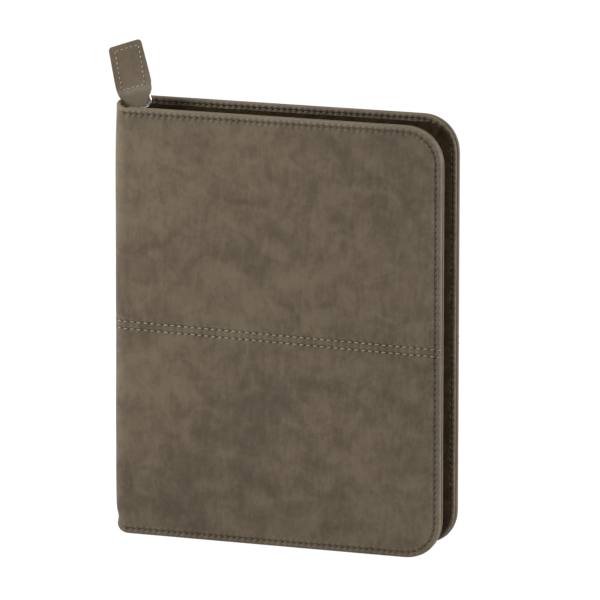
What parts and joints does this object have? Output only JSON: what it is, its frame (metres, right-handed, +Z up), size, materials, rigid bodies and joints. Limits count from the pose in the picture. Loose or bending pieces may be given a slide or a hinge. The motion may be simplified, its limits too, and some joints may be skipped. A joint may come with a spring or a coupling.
{
  "type": "zip-around ring planner",
  "caption": "Leatherette ring planner that zips shut round three sides, with a hinged spine, ring-bound pages, pockets and a leather pull tab.",
  "frame": {"origin": "middle of the closed planner's box, on the surface that its bottom edge stands on", "axes": "+Z up along the spine, -Y out of the front cover, +X from the spine to the zipped fore-edge"},
  "size_m": [0.1956, 0.034, 0.2725],
  "materials": {
    "leather": "matt brushed leatherette, mottled taupe",
    "lining": "dark brown woven lining",
    "board": "grey-brown paperboard",
    "tape": "dark brown woven zip tape",
    "teeth": "dark moulded plastic",
    "nickel": "polished nickel plate",
    "paper": "uncoated cream paper",
    "card": "tan index card",
    "plastic": "frosted plastic",
    "elastic": "dark knitted elastic"
  },
  "bodies": {
    "back_cover": {"back_cover_skin": "leather", "back_cover_board": "board", "back_cover_facing": "leather", "back_zip_tape": "tape", "back_zip_teeth": "teeth", "back_bottom_stop": "nickel", "notepad_pocket": "lining", "pen_loop": "elastic"},
    "spine": {"spine_skin": "leather", "spine_board": "board", "spine_lining": "lining", "ring_plate": "nickel", "upper_rivet": "nickel", "lower_rivet": "nickel"},
    "front_cover": {"front_cover_skin": "leather", "front_cover_board": "board", "front_cover_facing": "leather", "front_zip_tape": "tape", "front_zip_teeth": "teeth", "front_bottom_stop": "nickel", "card_pocket_1": "lining", "card_pocket_2": "lining", "card_pocket_3": "lining", "slip_pocket": "lining"},
    "back_leaves": {"back_pages": "paper", "back_divider": "card"},
    "front_leaves": {"front_pages": "paper", "front_divider": "card", "page_marker": "plastic"},
    "back_jaw": {"back_half_rings": "nickel"},
    "front_jaw": {"front_half_rings": "nickel"},
    "upper_trigger": {"upper_lever": "nickel"},
    "lower_trigger": {"lower_lever": "nickel"},
    "slider": {"zip_slider": "nickel"},
    "pull_link": {"pull_ring": "nickel"},
    "pull_tab": {"pull_tab_front": "leather", "pull_tab_back": "leather"}
  },
  "joints": [
    {"name": "spine_fold", "type": "hinge", "parent": "back_cover", "child": "spine", "pos_m": [-0.08817, 0.017, 0.12], "axis": [0, 0, -1], "range_deg": [0, 90]},
    {"name": "cover_open", "type": "hinge", "parent": "spine", "child": "front_cover", "pos_m": [-0.08817, -0.017, 0.12], "axis": [0, 0, -1], "range_deg": [0, 90]},
    {"name": "back_leaves_turn", "type": "hinge", "parent": "spine", "child": "back_leaves", "pos_m": [-0.07337, 0, 0.12], "axis": [0, 0, -1], "range_deg": [-90, 0]},
    {"name": "front_leaves_turn", "type": "hinge", "parent": "spine", "child": "front_leaves", "pos_m": [-0.07337, 0, 0.12], "axis": [0, 0, -1], "range_deg": [0, 90]},
    {"name": "upper_lever_press", "type": "hinge", "parent": "spine", "child": "upper_trigger", "pos_m": [-0.08167, 0, 0.2083], "axis": [0, -1, 0], "range_deg": [0, 18]},
    {"name": "lower_lever_press", "type": "hinge", "parent": "spine", "child": "lower_trigger", "pos_m": [-0.08167, 0, 0.0317], "axis": [0, 1, 0], "range_deg": [0, 18]},
    {"name": "back_jaw_open", "type": "hinge", "parent": "spine", "child": "back_jaw", "pos_m": [-0.08207, 0, 0.12], "axis": [0, 0, 1], "range_deg": [0, 6.5]},
    {"name": "front_jaw_open", "type": "hinge", "parent": "spine", "child": "front_jaw", "pos_m": [-0.08207, 0, 0.12], "axis": [0, 0, -1], "range_deg": [0, 6.5]},
    {"name": "zip_slide", "type": "slide", "parent": "back_cover", "child": "slider", "axis": [1, 0, 0], "range_m": [0, 0.144], "deforming": ["front_zip_teeth", "back_zip_teeth"]},
    {"name": "ring_swing", "type": "hinge", "parent": "slider", "child": "pull_link", "pos_m": [-0.07757, -0.002, 0.2364], "axis": [0.9588, -0.0591, 0.2778], "range_deg": [-20, 5]},
    {"name": "tab_swing", "type": "hinge", "parent": "pull_link", "child": "pull_tab", "pos_m": [-0.07973, -0.00352, 0.24353], "axis": [0.9588, 0.0493, 0.2797], "range_deg": [-22, 0]}
  ],
  "couplings": [
    {"joint": "back_leaves_turn", "follows": "spine_fold", "ratio": -1},
    {"joint": "front_leaves_turn", "follows": "cover_open", "ratio": 1},
    {"joint": "front_jaw_open", "follows": "back_jaw_open", "ratio": 1},
    {"joint": "upper_lever_press", "follows": "back_jaw_open", "ratio": 2.7692},
    {"joint": "lower_lever_press", "follows": "back_jaw_open", "ratio": 2.7692}
  ]
}
